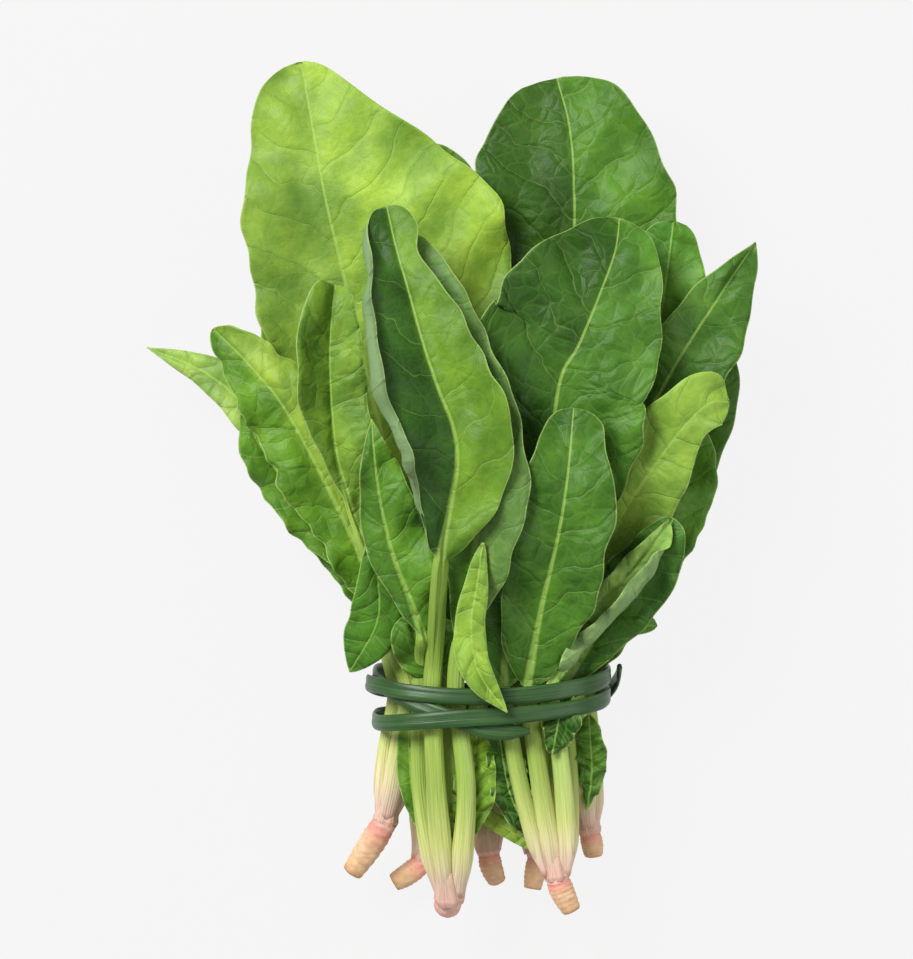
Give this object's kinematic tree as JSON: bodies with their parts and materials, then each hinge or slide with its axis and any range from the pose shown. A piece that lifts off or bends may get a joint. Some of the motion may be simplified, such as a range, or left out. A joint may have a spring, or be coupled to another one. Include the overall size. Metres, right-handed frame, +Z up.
{
  "type": "spinach bunch",
  "caption": "Bunch of root-on spinach lying down: leafy plants with pale crowns and cut taproots, bound round the stems by a wound flat green strip.",
  "frame": {"origin": "on the table, under the middle of the bunch's bounding box", "axes": "+Y from the roots to the leaf tips, +X to the right seen from above with the leaves away, +Z up from the table"},
  "size_m": [0.206, 0.2878, 0.0902],
  "materials": {
    "leaf": "satin leaf skin",
    "root": "matte root skin",
    "tie": "satin grass blade"
  },
  "bodies": {
    "root": {"plant_1_leaves": "leaf", "plant_2_leaves": "leaf", "plant_3_leaves": "leaf", "plant_4_leaves": "leaf", "plant_5_leaves": "leaf", "plant_6_leaves": "leaf", "plant_7_leaves": "leaf", "plant_1_root": "root", "plant_2_root": "root", "plant_3_root": "root", "plant_4_root": "root", "plant_5_root": "root", "plant_6_root": "root", "plant_7_root": "root", "tie_grass_blade": "tie"}
  },
  "joints": []
}
